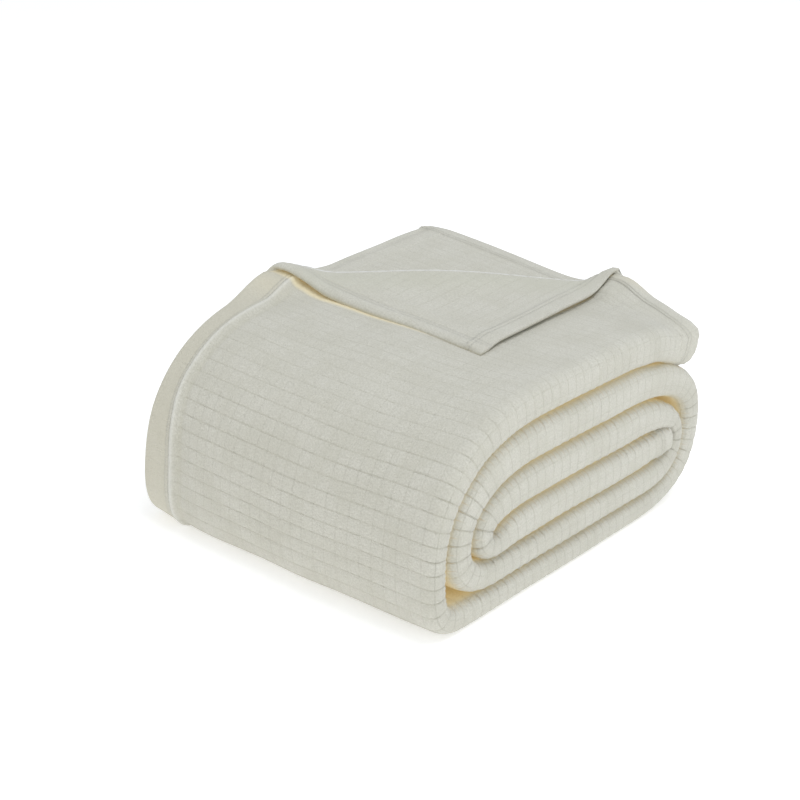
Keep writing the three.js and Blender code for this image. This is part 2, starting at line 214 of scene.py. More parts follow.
def settle(x, y, z, lifted, free):
    """The settled shape of the whole roll.

    lifted is how much of the humps' lift a ply takes, and free is 1 at the strip's outer end.
    """
    reach = FRONT_RECESS["start"] + STRIP_WIDTH / 2
    to_left = np.clip((FRONT_RECESS["start"] - x) / reach, 0, None)
    up = np.clip(z / FRONT_RECESS["height"], 0, 1) ** 0.75
    front = smooth((FRONT_RECESS["y"] - y) / FRONT_RECESS["over"])
    recess = FRONT_RECESS["depth"] * to_left ** FRONT_RECESS["power"] * up * front
    upper = np.maximum(smooth((z - UPPER_RUN["z"]) / UPPER_RUN["over_z"]), free)
    upper = upper * smooth((y - UPPER_RUN["y"]) / UPPER_RUN["over_y"])
    skew = -END_SKEW["slope"] * x * smooth((y - END_SKEW["start"]) / END_SKEW["over"]) * upper
    from_middle = (z - END_ROUND["middle"]) / END_ROUND["half"]
    from_middle = np.clip(from_middle, END_ROUND["lowest"], END_ROUND["highest"])
    round_end = END_ROUND["shift"] - END_ROUND["curve"] * from_middle ** 2
    lean = round_end * smooth((y - END_ROUND["start"]) / END_ROUND["over"]) * upper
    droop = END_DROOP["drop"] * smooth((x - END_DROOP["x"]) / END_DROOP["over"])
    droop = droop * smooth((y - END_DROOP["y"]) / END_DROOP["over_y"])
    droop = droop * smooth((z - END_DROOP["z"]) / END_DROOP["over_z"])
    at_top = smooth((z - TOP_PLIES["z"]) / TOP_PLIES["over"])
    rise = rise_at(x, y) * smooth(z / TOP_RISE["z"]) + lift_at(x, y, RAMP, lifted) * at_top
    corner = TOE_CORNER["shift"] * smooth((TOE_CORNER["x"] - x) / TOE_CORNER["over"])
    corner = corner * smooth((TOE_CORNER["height"] - z) / TOE_CORNER["height"]) * front
    back = smooth((BACK_CORNER["x"] - x) / BACK_CORNER["over"])
    back = back * smooth((y - BACK_CORNER["y"]) / BACK_CORNER["over_y"])
    aside = BACK_CORNER["shift"] * back * at_top
    return x - aside, y + recess + skew + lean + corner, np.clip(z, 0, None) + rise - droop


def top_at(x, y):
    end, first = RUNS[0], RUNS[1]
    end_top = end["z"][0] + end["thick"][0] / 2
    first_top = first["z"][0] + first["thick"][0] / 2
    share = smooth((y - first["y"][0]) / (end["y"][0] - first["y"][0]))
    return mix(first_top, end_top, share) + rise_at(x, y)


# The path of the cloth across the strip
def section_path():
    """The cloth's middle line through the strip's section: x, depth, ply, at fine steps."""
    points = []

    def run_to(x, depth, ply):
        x0 = points[-1][0]
        count = max(2, int(abs(x - x0) / 0.5))
        for k in range(1, count + 1):
            points.append((mix(x0, x, k / count), depth, ply))

    def turn(x, centre, deep, reach, side, down, ply_in, ply_out):
        for k in range(1, 33):
            angle = k / 32 * math.pi
            turned = math.copysign(abs(math.cos(angle)) ** (2 / SQUARE), math.cos(angle))
            depth = centre + (deep if down else -deep) * turned
            beside = x + side * reach * math.sin(angle) ** (2 / SQUARE)
            points.append((beside, depth, ply_in if k < 16 else ply_out))

    right, left = RIGHT - FOLD_DEPTH, LEFT + EDGE_DEPTH
    points.append((TOP_EDGE, 14.0, 1))
    run_to(right, 14.0, 1)
    turn(right, 0.0, 14.0, 15.0, 1, True, 1, 8)
    run_to(left, -14.0, 8)
    turn(left, -8.0, 6.0, 5.5, -1, False, 8, 5)
    run_to(right, -2.0, 5)
    turn(right, 0.0, 2.0, 3.0, 1, False, 5, 4)
    run_to(left, 2.0, 4)
    turn(left, 4.0, 2.0, 3.0, -1, False, 4, 3)
    run_to(right, 6.0, 3)
    turn(right, 0.0, 6.0, 7.0, 1, True, 3, 6)
    run_to(left, -6.0, 6)
    turn(left, -8.0, 2.0, 2.0, -1, True, 6, 7)
    run_to(right, -10.0, 7)
    turn(right, 0.0, 10.0, 11.0, 1, False, 7, 2)
    run_to(SECOND_EDGE, 10.0, 2)
    path = np.array(points)
    u = np.concatenate([[0], np.cumsum(np.hypot(*np.diff(path[:, :2], axis=0).T))])
    along = np.gradient(path[:, :2], axis=0)
    along /= np.linalg.norm(along, axis=1)[:, None]
    return u, path, np.stack([-along[:, 1], along[:, 0]], axis=1)


PATH_U, PATH, PATH_NORMAL = section_path()
PATH_LENGTH = float(PATH_U[-1])


def u_where(ply, x):
    """The place along the path where this ply crosses x."""
    on = np.where(PATH[:, 2] == ply)[0]
    return float(PATH_U[on[np.argmin(np.abs(PATH[on, 0] - x))]])


# The surface of the cloth
STRONG_PHASE = 6.0
WEAK_PHASE = 4.0
END_OF_PLY = {1: 1.0, 2: 7.0, 3: 4.0, 4: 0.5, 5: 3.0, 6: -1.0, 7: 1.5, 8: -1.0}

rng = random.Random(31)


def waves(count, low, high):
    """Directions, lengths and phases of a set of long soft waves."""
    made = []
    for _ in range(count):
        angle = rng.uniform(0, math.pi)
        length = rng.uniform(low, high)
        made.append((math.cos(angle) / length, math.sin(angle) / length, rng.uniform(0, 6.28)))
    return made


BROAD = waves(9, 14, 40)
SMALL = waves(14, 4.5, 12)
WOBBLE = waves(8, 20, 60)
PUFF = waves(8, 12, 40)


def sum_of(waves_used, u, s):
    total = 0
    for a, b, phase in waves_used:
        total = total + np.sin(u * a + s * b + phase)
    return total / math.sqrt(len(waves_used))


def to_line(value, phase, pitch):
    """Distance to the nearest line of the grid."""
    d = np.mod(value - phase, pitch)
    return np.minimum(d, pitch - d)


def quilted(distance, depth, width, puff):
    """A narrow pressed line with a soft swell beside it."""
    swell = 1 - (1 - np.clip(distance / (CELL / 2), 0, 1)) ** 2
    return puff * swell - depth * np.exp(-(distance / width) ** 2)


def bump_at(distance, place, width):
    return np.exp(-((distance - place) / width) ** 2)


# Places on the hems, in millimetres from the cloth's edge
SIDE_ROWS = (23.2, 26.6)
INNER_ROWS = (11.6, 15.0)        # the same two rows, as they show on the inner face
END_ROWS_AT = (14.8, 19.2)
RIB_AT = 24.9
WELT_AT = 29.6
VALLEY_AT = 38.0
VALLEY_SHADE_AT = 37.5


def side_hem(distance, face):
    """The hem along the strip: a thick band that ends in a round welt between its stitch rows."""
    band = 1 - smooth((distance - SIDE_HEM + 1.0) / 2.0)
    if face < 0:
        rows = bump_at(distance, INNER_ROWS[0], 0.8) + bump_at(distance, INNER_ROWS[1], 0.8)
        outside, between = bump_at(distance, 5.5, 3.5), bump_at(distance, 19.0, 2.5)
        return 0.8 * band + 0.9 * outside - 0.4 * rows + 0.5 * between
    welt = 2.5 * bump_at(distance, WELT_AT, 2.3) + 0.8 * bump_at(distance, RIB_AT, 0.9)
    pressed = 0.4 * bump_at(distance, SIDE_ROWS[0], 0.7) + 0.4 * bump_at(distance, SIDE_ROWS[1], 0.6)
    valley = 1.5 * bump_at(distance, VALLEY_AT, 4.4)
    return 1.3 * band + welt - pressed - valley


def end_hem(distance, face):
    """The hem across the ends: a band with two pressed rows of stitches."""
    band = 1 - smooth((distance - END_HEM + 1.0) / 2.0)
    pressed = 0.8 * bump_at(distance, END_ROWS_AT[0], 0.7) + 0.9 * bump_at(distance, END_ROWS_AT[1], 0.7)
    return 1.1 * band - pressed * (1.0 if face > 0 else 0.6) + 0.5 * bump_at(distance, 17.0, 1.3)


def ply_at(u):
    return np.interp(u, PATH_U, PATH[:, 2])


def pressed_in(u, s):
    """How clearly the grid shows: most on the front, less on the top, on the hems and on the round edge."""
    to_side = np.minimum(u, PATH_LENGTH - u)
    to_end = np.minimum(s, COURSE_LENGTH - s)
    hems = mix(0.4, 1.0, smooth((to_side - SIDE_HEM) / 4)) * mix(0.2, 1.0, smooth((to_end - END_HEM) / 4))
    x = np.interp(u, PATH_U, PATH[:, 0])
    facing = np.abs(np.interp(s, COURSE_S, NORMAL[:, 1]))
    on_top = mix(1.0, 0.6, smooth((facing - 0.55) / 0.4))
    round_edge = mix(1.0, 1.5, smooth((x - RIGHT + 14) / 10))
    return hems * on_top * round_edge


def crease(u, s):
    """Short close creases where the round edge is pushed into a crevice."""
    along = s + 0.8 * sum_of(WOBBLE, u, s)
    pleats = np.cos((along - STRONG_PHASE) * 4 * math.pi / ROW)
    return creased(u, s) * pleats * (0.6 + 0.4 * sum_of(PUFF, u, s))


def creased(u, s):
    """Where the round edge turns into a crevice."""
    x = np.interp(u, PATH_U, PATH[:, 0])
    band = smooth((RIGHT - 2.4 - x) / 3) * (1 - smooth((RIGHT - 11 - x) / 5))
    return np.where(covered(u, s), band, 0.0)


def relief(u, s, face):
    """How far the face stands off the cloth's middle, without its half thickness."""
    to_side = np.minimum(u, PATH_LENGTH - u)
    to_end = np.minimum(s, COURSE_LENGTH - s)
    strength = 1 + 0.25 * sum_of(PUFF, u, s)
    strong = quilted(to_line(s, STRONG_PHASE, ROW), 0.36, 0.7, 0.14)
    grid = strong + quilted(to_line(u, WEAK_PHASE, CELL), 0.2, 0.7, 0.06)
    around = 0.5 * sum_of(BROAD, u, s) + 0.09 * sum_of(SMALL, u, s)
    hems = side_hem(to_side, face) * smooth((to_end - 4) / 10) + end_hem(to_end, face)
    return (grid * pressed_in(u, s) + hems) * strength + (around - 0.85 * crease(u, s)) * (face > 0)


def wander(u, s):
    """How far the first ply's hem line runs inward of its straight course."""
    front = HEM_DRIFT["front"] * smooth((s - HEM_DRIFT["start"]) / HEM_DRIFT["grow"])
    front = front * (1 - smooth((s - HEM_DRIFT["end"]) / HEM_DRIFT["fade"]))
    shoulder = HEM_DRIFT["shoulder"] * np.exp(-((s - HEM_DRIFT["at"]) / HEM_DRIFT["reach"]) ** 2)
    return (front + shoulder) * np.clip(u / 30, 0, 1) * (1 - smooth((u - 30) / 90))


def cloth_point(u, s, face):
    """Points of the cloth, in metres, with masks of the painted shade where it is hidden between wraps or
    under the turned corner, and of the painted highlight and shade where it is turned over.

    u runs across the cloth, s along it, face is 1 or -1.
    """
    x = np.interp(u, PATH_U, PATH[:, 0]) + wander(u, s)
    depth = np.interp(u, PATH_U, PATH[:, 1])
    nx = np.interp(u, PATH_U, PATH_NORMAL[:, 0])
    nd = np.interp(u, PATH_U, PATH_NORMAL[:, 1])
    ply_one = u < u_where(1, RIGHT - FOLD_DEPTH) + 22
    half = CLOTH / 2
    edge = np.minimum.reduce([u, PATH_LENGTH - u, s, COURSE_LENGTH - s])
    rim = np.sqrt(1 - (1 - np.clip(edge / 3.4, 0, 1)) ** 2)
    out = face * (half + relief(u, s, face)) * rim
    lifted = np.interp(depth, list(LIFT_AT_DEPTH), list(LIFT_AT_DEPTH.values()))
    held = smooth(np.minimum(s, COURSE_LENGTH - s) / 30)
    place = s + 1.1 * sum_of(WOBBLE, u, s) * held
    y0 = np.interp(place, COURSE_S, COURSE[:, 0])
    z0 = np.interp(place, COURSE_S, COURSE[:, 1])
    squeeze = np.interp(place, COURSE_S, COURSE[:, 2]) / (2 * NOMINAL)
    ny = np.interp(place, COURSE_S, NORMAL[:, 0])
    nz = np.interp(place, COURSE_S, NORMAL[:, 1])
    px = x + nx * out
    taper = 1 - LEFT_TAPER["squeeze"] * smooth((LEFT_TAPER["x"] - x) / LEFT_TAPER["over"])
    pd = depth * squeeze * taper + nd * out
    further = np.interp(ply_at(u), list(END_OF_PLY), list(END_OF_PLY.values())) * np.exp(-(s / 70) ** 2)
    mx, my, mz = settle(px, y0 + ny * pd + further, z0 + nz * pd, lifted, smooth((110 - s) / 40))
    upper = ply_one & (s < 330)
    beyond, fold_highlight_and_shade = np.zeros(len(u), dtype=bool), np.zeros(len(u))
    if np.any(upper):
        mx, my, mz, beyond, fold_highlight_and_shade = turned_over(mx, my, mz, out * nd, upper)
    # Painted warm shade in the crevices between wraps and under the turned corner.
    crevice_shade = np.maximum(shade_between_wraps(u, s), shade_under_flap(mx, my, upper & (face > 0), beyond, edge))
    return np.stack([mx, my + SHIFT_Y, mz], axis=-1) * MM, crevice_shade, fold_highlight_and_shade


# The corner before it is turned over, measured along the fold line and away from it.
EDGE_CROSSING = 70.0
SPREAD = (FOLD_BACK[0] - EDGE_CROSSING) / ALONG[0]
CORNER = np.array([TOP_EDGE, 195.3])
CROSSING_ALONG = (EDGE_CROSSING - FOLD_LEFT[0]) / ALONG[0]
CORNER_ALONG = float((CORNER - FOLD_LEFT) @ ALONG)
CORNER_DEPTH = float(-(CORNER - FOLD_LEFT) @ OVER)
TIP_ALONG = float((TIP - FOLD_LEFT) @ ALONG)
TIP_OVER = float((TIP - FOLD_LEFT) @ OVER)


def turned_over(x, y, z, out, upper):
    """Rolls what lies beyond the fold line over, and lays it on the top."""
    dx, dy = x - FOLD_LEFT[0], y - FOLD_LEFT[1]
    length = dx * ALONG[0] + dy * ALONG[1]
    away = -(dx * OVER[0] + dy * OVER[1])
    # The top ply slides outward a little where it turns over at the back.
    share = np.clip((length - FOLD_START) / (CROSSING_ALONG - FOLD_START), 0, 1)
    slide = SPREAD * share * (1 - smooth((length - CROSSING_ALONG) / 80)) * smooth((away + 70) / 70) * upper
    beyond = upper & (away > 0)
    part = np.clip(away / CORNER_DEPTH, 0, 1)
    first, last = mix(FOLD_START, CORNER_ALONG, part), mix(CROSSING_ALONG, CORNER_ALONG, part)
    new_first, new_last = mix(FOLD_START, TIP_ALONG, part), mix(FOLD_LENGTH, TIP_ALONG, part)
    stretch = (new_last - new_first) / np.maximum(last - first, 1.0)
    steady = (FOLD_LENGTH - FOLD_START) / (CROSSING_ALONG - FOLD_START)
    stretch = mix(stretch, steady, smooth((part - 0.9) / 0.08))
    along = new_first + (length - first) * stretch
    across_fold = np.clip((along - FOLD_START) / (FOLD_LENGTH - FOLD_START), 0, 1)
    from_front = across_fold * (FOLD_LENGTH - FOLD_START)
    from_back = FOLD_LENGTH - FOLD_START - from_front
    radius = np.minimum(
        mix(FRONT_END_RADIUS, MIDDLE_RADIUS, smooth((from_front - 4) / 48)),
        mix(BACK_END_RADIUS, MIDDLE_RADIUS, smooth(from_back / 190)),
    )
    arc = math.pi * radius
    angle = np.clip(away / radius, 0, math.pi)
    lying = np.clip(away - arc, 0, None)
    reach = TIP_OVER / (CORNER_DEPTH - math.pi * MIDDLE_RADIUS)
    taper = LEFT_TAPER["drop"] * smooth((LEFT_TAPER["x"] - x) / LEFT_TAPER["over"])
    over = -radius * np.sin(angle) + lying * reach + out * np.sin(angle)
    rest = CLOTH + LIE
    height = np.where(
        lying > 0,
        rest + (2 * radius - rest) * np.exp(-(lying / SETTLE_LENGTH) ** 2),
        radius * (1 - np.cos(angle)),
    )
    height = height + out * np.cos(angle)
    fx = FOLD_LEFT[0] + along * ALONG[0] + over * OVER[0]
    fy = FOLD_LEFT[1] + along * ALONG[1] + over * OVER[1]
    base = top_at(fx, fy) + lift_at(fx, fy, FLAP_RAMP) - CLOTH / 2 - taper
    nx, ny = x + slide * ALONG[0], y + slide * ALONG[1]
    # A painted highlight along the fold's crest, and painted shade on the slope below it.
    inner = smooth((across_fold - 0.06) / 0.1) * smooth((0.97 - across_fold) / 0.08)
    slope = smooth(lying / 6) * (1 - smooth((lying - 16) / 36))
    fold_highlight_and_shade = np.where(beyond, (np.exp(-((away - 0.95 * arc) / 2.4) ** 2) - slope) * inner, 0.0)
    px, py = np.where(beyond, fx, nx), np.where(beyond, fy, ny)
    return px, py, np.where(beyond, base + height, z), beyond, fold_highlight_and_shade


def covered(u, s):
    """Where the strip's round edge has another wrap against it."""
    return (s > COVERED_FROM) | (np.interp(u, PATH_U, PATH[:, 1]) < 0)


def shade_between_wraps(u, s):
    """How deep between two wraps this place is, from 0 in the open to 1 inside; it sets the painted shade
    in the crevices.
    """
    x = np.interp(u, PATH_U, PATH[:, 0])
    from_right = smooth((RIGHT - 4.5 - x) / 8)
    from_left = smooth((x - LEFT - 16) / 14)
    from_ends = smooth((np.minimum(s, COURSE_LENGTH - s) - 16) / 14)
    return np.where(covered(u, s), from_right * from_left * from_ends, 0.0)


# The hollows at the two ends of the fold: how strong their painted shade is, where it lies and how far it
# reaches.
FRONT_HOLLOW_SHADE = dict(tint=0.12, x=-150.0, y=-46.0, over_x=20.0, over_y=12.0)
BACK_HOLLOW_SHADE = dict(tint=0.2, x=104.0, y=172.0, over_x=26.0, over_y=9.0)


def hollow_shade(hollow, x, y):
    away = -((x - hollow["x"]) / hollow["over_x"]) ** 2 - ((y - hollow["y"]) / hollow["over_y"]) ** 2
    return hollow["tint"] * np.exp(away)


def shade_under_flap(x, y, upper, beyond, edge):
    """How far under the turned corner this place is, with the dimmer hollows beside it, as a mask of
    painted shade.
    """
    point = np.stack([x, y], axis=-1)
    start = FOLD_LEFT + ALONG * (FOLD_START + 9)

    def inside(a, b):
        side = (b - a) / np.linalg.norm(b - a)
        offset = point - a
        return offset[..., 0] * -side[1] + offset[..., 1] * side[0]

    within = np.minimum(inside(start, TIP), inside(TIP, FOLD_BACK))
    hollows = hollow_shade(FRONT_HOLLOW_SHADE, x, y) + hollow_shade(BACK_HOLLOW_SHADE, x, y)
    open_top = np.maximum(0.9 * smooth((within + 1.5) / 6), hollows)
    return np.where(upper, np.where(beyond, 0.9 * smooth((edge - 3) / 6), open_top), 0.0)


# Meshing
def grid_lines(start, end, phase, pitch, offsets):
    """Lines from start to end at these offsets from every line of the grid."""
    first = int(math.floor((start - phase) / pitch)) - 1
    last = int(math.ceil((end - phase) / pitch)) + 1
    lines = [phase + pitch * k + o for k in range(first, last + 1) for o in offsets]
    lines = [v for v in lines if start + 0.3 < v < end - 0.3]
    return [start, *lines, end]


def merged(*groups):
    values = sorted(v for group in groups for v in group)
    kept = [values[0]]
    for v in values[1:]:
        if v - kept[-1] > 0.05:
            kept.append(v)
    return kept


class Cloth:
    """Collects patches of the cloth and joins them into one mesh."""

    def __init__(self):
        self.points = []
        self.faces = []
        self.flat = []
        self.marks = {"crevice_shade": [], "fold_highlight_and_shade": [], "press": [], "crease": [], "outer": []}
        self.count = 0

    def patch(self, us, ss, face):
        us, ss = np.array(us), np.array(ss)
        uu, sv = np.meshgrid(us, ss)
        uu, sv = uu.ravel(), sv.ravel()
        points, crevice_shade, fold_highlight_and_shade = cloth_point(uu, sv, face)
        outer = np.full(len(uu), 1.0 if face > 0 else 0.0)
        self.points.append(points)
        self.flat.append(np.stack([uu, sv], axis=1) * MM / FLAT_SIZE[1])
        for name, values in zip(self.marks, (crevice_shade, fold_highlight_and_shade, pressed_in(uu, sv), creased(uu, sv), outer)):
            self.marks[name].append(values)
        n = len(us)
        ids = self.count + np.arange(len(ss) * n).reshape(len(ss), n)
        quads = np.stack([ids[:-1, :-1], ids[:-1, 1:], ids[1:, 1:], ids[1:, :-1]], axis=-1).reshape(-1, 4)
        if face < 0:
            quads = quads[:, ::-1]
        self.faces.append(quads)
        self.count += len(uu)

    def piece(self, title):
        points = np.concatenate(self.points)
        keys = np.round(points / 2e-6).astype(np.int64)
        _, first, place = np.unique(keys, axis=0, return_index=True, return_inverse=True)
        place = place.ravel()
        quads = np.concatenate(self.faces)
        flat = np.concatenate(self.flat)
        corners = flat[quads.ravel()]
        quads = place[quads]
        whole = np.array([len(set(q)) == 4 for q in quads.tolist()])
        corners = corners.reshape(-1, 4, 2)[whole].reshape(-1, 2)
        data = bpy.data.meshes.new(title)
        data.from_pydata(points[first].tolist(), [], quads[whole].tolist())
        layer = data.uv_layers.new(name="cloth")
        layer.data.foreach_set("uv", corners.ravel())
        for name, values in self.marks.items():
            layer = data.attributes.new(name, "FLOAT", "POINT")
            layer.data.foreach_set("value", np.concatenate(values)[first])
        data.polygons.foreach_set("use_smooth", [True] * len(data.polygons))
        made = bpy.data.objects.new(title, data)
        bpy.context.scene.collection.objects.link(made)
        return made


EDGE_STEPS = [0.0, 0.15, 0.6, 1.4, 3.0]
END_STEPS = [6.0, 10.0, 13.0, 14.1, 14.8, 15.5, 17.0, 18.5, 19.2, 19.9, 21.2, 23.0]
SIDE_STEPS = [
    5.5, 8.5, 10.6, 11.6, 12.6, 14.0, 15.0, 16.2, 19.0, 22.4, 23.2, 24.1,
    24.9, 25.8, 26.6, 27.5, 28.5, 29.6, 30.7, 32.0, 33.3, 35.4, 38.2, 41.5,
]
ROW_OFFSETS = [-1.3, -0.5, 0.5, 1.4, 3.5, 5.6, 7.8]
SIDE_OFFSETS = [0.0, 1.4, 5.6, 9.8]
COLUMN_OFFSETS = [0.0, 1.2, 6.1, 11.1]
HALF_OFFSETS = [0.0, 6.1]
HIDDEN_OFFSETS = [5.6]
HIDDEN_STEP = 36.0               # columns on the plies that nothing shows
TURNED_LENGTH = 330.0
SHOWN_UNDER = 140.0
OUTER_END = STRONG_PHASE + ROW * 92
BOTTOM = (480.0, 800.0)


def from_both_ends(steps, length, middle):
    """Rows or columns with fine steps near the two hemmed ends."""
    near = steps[-1] + 0.5
    return merged(steps, [v for v in middle if near < v < length - near], [length - v for v in steps])


END_ROWS = EDGE_STEPS + END_STEPS
rows_fine = merged(
    grid_lines(0, BOTTOM[0], STRONG_PHASE, ROW, ROW_OFFSETS),
    grid_lines(BOTTOM[0], BOTTOM[1], STRONG_PHASE, ROW, SIDE_OFFSETS),
    grid_lines(BOTTOM[1], OUTER_END, STRONG_PHASE, ROW, ROW_OFFSETS),
)
rows_inner = grid_lines(OUTER_END, COURSE_LENGTH, STRONG_PHASE, ROW, SIDE_OFFSETS)
rows_bulge = from_both_ends(END_ROWS, COURSE_LENGTH, merged(rows_fine, rows_inner))
rows_outer = [v for v in rows_bulge if v <= OUTER_END + 1e-6]
rows_side = from_both_ends(END_ROWS, COURSE_LENGTH, merged(
    grid_lines(0, OUTER_END, STRONG_PHASE, ROW, SIDE_OFFSETS), rows_inner))
rows_hidden = from_both_ends(
    END_ROWS, COURSE_LENGTH, grid_lines(0, COURSE_LENGTH, STRONG_PHASE, ROW, HIDDEN_OFFSETS))
rows_hidden_inner = merged([OUTER_END], [v for v in rows_hidden if v > OUTER_END + 1])
rows_turned = [v for v in rows_outer if v < TURNED_LENGTH]
rows_end = [v for v in rows_hidden if v < 40]
rows_rest = [v for v in rows_hidden if v >= rows_end[-1]]
rows_under = [v for v in rows_side if v < SHOWN_UNDER]
rows_after_under = merged([rows_under[-1]], [v for v in rows_hidden if v > rows_under[-1] + 1])

LEFT_BAND = TOP_EDGE + 46
RIGHT_BAND = RIGHT - 30
hem_columns = merged(EDGE_STEPS, SIDE_STEPS, [46.0])
fine_columns = grid_lines(u_where(1, LEFT_BAND), u_where(1, RIGHT_BAND), WEAK_PHASE, CELL, COLUMN_OFFSETS)


def across(ply, x0, x1, step):
    a, b = u_where(ply, x0), u_where(ply, x1)
    count = max(1, int(round(abs(b - a) / step)))
    return [mix(a, b, k / count) for k in range(count + 1)]


def mirrored(columns):
    """The same columns, counted from the cloth's other side."""
    return [PATH_LENGTH - c for c in reversed(columns)]


def bend(ply_in, ply_out, x, count, close=1.0):
    """Columns round a fold; a close above 1 sets them closer in its middle."""
    a, b = u_where(ply_in, x), u_where(ply_out, x)
    from_middle = [2 * k / count - 1 for k in range(count + 1)]
    return [mix(a, b, 0.5 + 0.5 * math.copysign(abs(t) ** close, t)) for t in from_middle]


# The top ply and the round right edge, which carry the detail that shows most.
rim_columns = [c for c in hem_columns if c < 12]
rows_wrapped = merged([OUTER_END], [v for v in rows_bulge if v > OUTER_END + 1e-6])
top_ply = Cloth()
top_ply.patch(hem_columns, rows_outer, 1)
top_ply.patch(fine_columns, rows_outer, 1)
top_ply.patch(bend(1, 8, RIGHT_BAND, 20), rows_outer, 1)
top_ply.patch(hem_columns, rows_turned, -1)
top_ply.patch([c for c in fine_columns if c < 250], rows_turned, -1)
top_ply.patch([c for c in fine_columns if c > 230], rows_end, -1)
top_ply.patch(bend(1, 8, RIGHT_BAND, 20), rows_end, -1)
top = top_ply.piece("fleece_top_ply")

# The same ply and edge where the strip is wound inside.
wound = Cloth()
wound.patch(hem_columns, rows_wrapped, 1)
wound.patch(across(1, LEFT_BAND, RIGHT_BAND, HIDDEN_STEP), rows_hidden_inner, 1)
wound.patch(bend(1, 8, RIGHT_BAND, 24), rows_wrapped, 1)
wound.patch(rim_columns, [v for v in rows_side if v > TURNED_LENGTH], -1)
wound.patch(merged([hem_columns[-1]], [rim_columns[-1]]), [v for v in rows_hidden if v > TURNED_LENGTH], -1)
inside = wound.piece("fleece_wound_ply")

# The second ply's hem, and its top where the first ply is turned over.
second = Cloth()
hem_start = u_where(2, LEFT_BAND)
hem_back = [hem_start] + [c for c in mirrored(hem_columns) if c > hem_start + 1]
rim_back = [c for c in hem_back if c > PATH_LENGTH - 12]
top_back = [c for c in mirrored(fine_columns) if PATH_LENGTH - 290 < c < hem_start - 0.6] + [hem_start]
second.patch(hem_back, rows_side, -1)
second.patch(hem_back, rows_end, 1)
second.patch(rim_back, [v for v in rows_side if v >= rows_end[-1]], 1)
second.patch([hem_back[0], rim_back[0]], rows_rest, 1)
second.patch(top_back, rows_turned, -1)
second.patch(top_back, rows_end, 1)
under = second.piece("fleece_second_ply")

# The plies under them, with their folds at the left edge.
lower = Cloth()
eighth = grid_lines(u_where(8, RIGHT_BAND), u_where(8, LEFT_BAND), WEAK_PHASE, CELL, HALF_OFFSETS)
folds = [
    (bend(8, 5, LEFT_BAND, 20, 1.5), rows_side),
    (across(5, LEFT_BAND, RIGHT_BAND, HIDDEN_STEP), rows_hidden),
    (bend(5, 4, RIGHT_BAND, 8), rows_hidden),
    (across(4, RIGHT_BAND, LEFT_BAND, HIDDEN_STEP), rows_hidden),
    (bend(4, 3, LEFT_BAND, 18, 1.5), rows_side),
    (across(3, LEFT_BAND, RIGHT_BAND, HIDDEN_STEP), rows_hidden),
    (bend(3, 6, RIGHT_BAND, 8), rows_hidden),
    (across(6, RIGHT_BAND, LEFT_BAND, HIDDEN_STEP), rows_hidden),
    (bend(6, 7, LEFT_BAND, 14, 1.5), rows_hidden),
    (across(7, LEFT_BAND, RIGHT_BAND, HIDDEN_STEP), rows_hidden),
    (bend(7, 2, RIGHT_BAND, 8), rows_hidden),
    (across(2, RIGHT_BAND, LEFT_BAND, HIDDEN_STEP), rows_hidden),
]
lower.patch(eighth, rows_under, 1)
lower.patch(eighth, rows_end, -1)
lower.patch(across(8, RIGHT_BAND, LEFT_BAND, HIDDEN_STEP), rows_after_under, 1)
for columns, rows in folds:
    lower.patch(columns, [v for v in rows if v >= rows_end[-1]] if rows is rows_side else rows_rest, 1)
    # At the strip's outer end, where the stacked edges show, both faces are there in finer steps.
    last = min(columns[-1], top_back[0])
    count = max(1, int((last - columns[0]) / 6))
    even = columns if len(columns) > 14 else [mix(columns[0], last, k / count) for k in range(count + 1)]
    for face in (1, -1):
        lower.patch(even, rows_end, face)
plies = lower.piece("fleece_blanket")


# Material
def math_node(tree, operation, first, second=None, third=None):
    node = tree.nodes.new("ShaderNodeMath")
    node.operation = operation
    for socket, value in zip(node.inputs, (first, second, third)):
        if value is None:
            continue
        if isinstance(value, (int, float)):
            socket.default_value = value
        else:
            tree.links.new(value, socket)
    return node.outputs[0]


def map_range(tree, value, low, high, to_low, to_high, smooth_step=True):
    node = tree.nodes.new("ShaderNodeMapRange")
    node.interpolation_type = "SMOOTHSTEP" if smooth_step else "LINEAR"
    tree.links.new(value, node.inputs["Value"])
    for name, number in (("From Min", low), ("From Max", high), ("To Min", to_low), ("To Max", to_high)):
        node.inputs[name].default_value = number
    return node.outputs["Result"]


def noise(tree, vector, scale, detail, rough=0.5):
    node = tree.nodes.new("ShaderNodeTexNoise")
    node.noise_dimensions = "3D"
    tree.links.new(vector, node.inputs["Vector"])
    node.inputs["Scale"].default_value = scale
    node.inputs["Detail"].default_value = detail
    node.inputs["Roughness"].default_value = rough
    return node.outputs["Fac"]


def mix_colour(tree, factor, first, second, blend="MIX"):
    node = tree.nodes.new("ShaderNodeMix")
    node.data_type = "RGBA"
    node.blend_type = blend
    for name, kind, value in (("Factor", "VALUE", factor), ("A", "RGBA", first), ("B", "RGBA", second)):
        socket = [i for i in node.inputs if i.name == name and i.type == kind][0]
        if isinstance(value, (tuple, int, float)):
            socket.default_value = value
        else:
            tree.links.new(value, socket)
    return [o for o in node.outputs if o.type == "RGBA"][0]


def new_group(title, inputs, outputs):
    group = bpy.data.node_groups.new(title, "ShaderNodeTree")
    for name, kind in inputs:
        group.interface.new_socket(name, in_out="INPUT", socket_type=kind)
    for name in outputs:
        group.interface.new_socket(name, in_out="OUTPUT", socket_type="NodeSocketFloat")
    return group, group.nodes.new("NodeGroupInput"), group.nodes.new("NodeGroupOutput")


